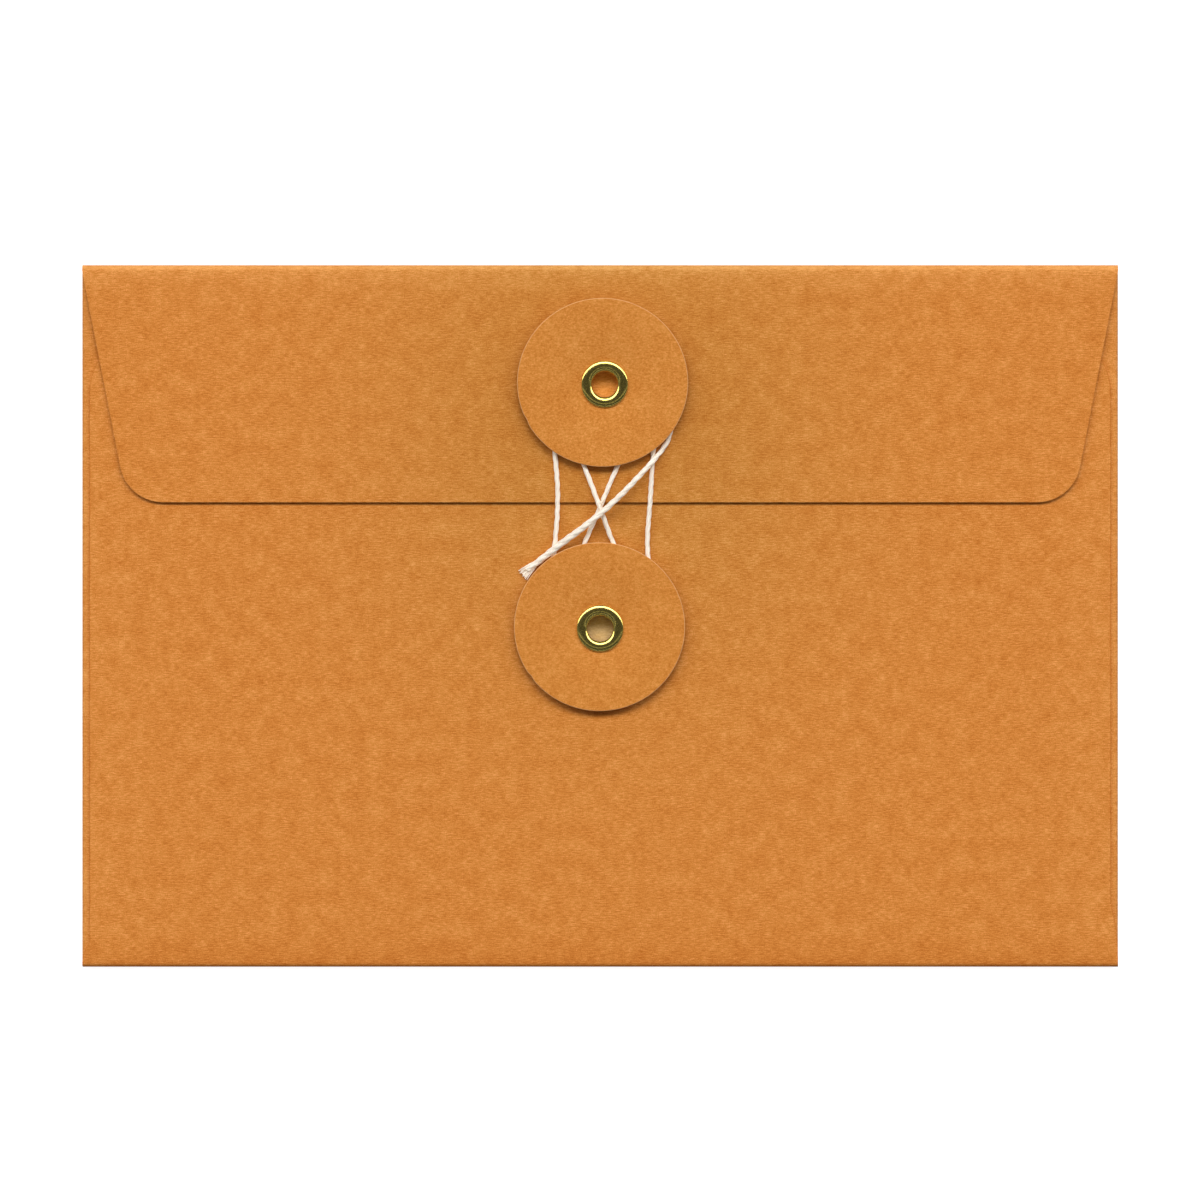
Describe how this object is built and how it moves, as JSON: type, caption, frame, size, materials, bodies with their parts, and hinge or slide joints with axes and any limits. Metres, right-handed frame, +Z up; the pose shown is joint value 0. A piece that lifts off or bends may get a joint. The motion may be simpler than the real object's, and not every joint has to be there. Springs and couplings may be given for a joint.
{
  "type": "string tie envelope",
  "caption": "Small kraft paper envelope with a deep tapered flap, closed by a cotton string wound round card discs on brass eyelets.",
  "frame": {"origin": "under the middle of the envelope, on the surface that its address side lies on", "axes": "+X to the right and +Y towards the flap fold, as seen from above, and +Z up, out of the side with the flap and the buttons"},
  "size_m": [0.155, 0.105, 0.0049],
  "materials": {
    "kraft_paper": "matte",
    "plain_kraft": "matte",
    "kraft_card": "matte",
    "dried_glue": "satin",
    "eyelet_brass": "satin",
    "cotton_string": "matte"
  },
  "bodies": {
    "envelope": {"address_panel": "kraft_paper", "pocket_panel": "kraft_paper", "left_seam_flap": "kraft_paper", "right_seam_flap": "kraft_paper", "bottom_fold": "kraft_paper", "left_side_fold": "kraft_paper", "right_side_fold": "kraft_paper", "flap_fold": "kraft_paper", "left_glue_line": "dried_glue", "right_glue_line": "dried_glue", "lower_patch": "plain_kraft", "lower_spacer": "kraft_card", "lower_eyelet": "eyelet_brass"},
    "flap": {"closing_flap": "kraft_paper", "upper_patch": "plain_kraft", "upper_spacer": "kraft_card", "upper_eyelet": "eyelet_brass", "string_knot": "cotton_string", "string_winding": "cotton_string", "string_free_end": "cotton_string"},
    "upper_button": {"upper_disc": "kraft_card"},
    "lower_button": {"lower_disc": "kraft_card"}
  },
  "joints": [
    {"name": "flap_hinge", "type": "hinge", "parent": "envelope", "child": "flap", "pos_m": [0, 0.05162, 0.00088], "axis": [-1, 0, 0], "range_deg": [0, 150], "deforming": ["flap_fold", "string_winding", "string_free_end"]},
    {"name": "upper_disc_swivel", "type": "hinge", "parent": "flap", "child": "upper_button", "pos_m": [0.00069, 0.03464, 0.0035], "axis": [0, 0, 1], "continuous": true},
    {"name": "lower_disc_swivel", "type": "hinge", "parent": "envelope", "child": "lower_button", "pos_m": [0, -0.00188, 0.0026], "axis": [0, 0, 1], "continuous": true}
  ]
}
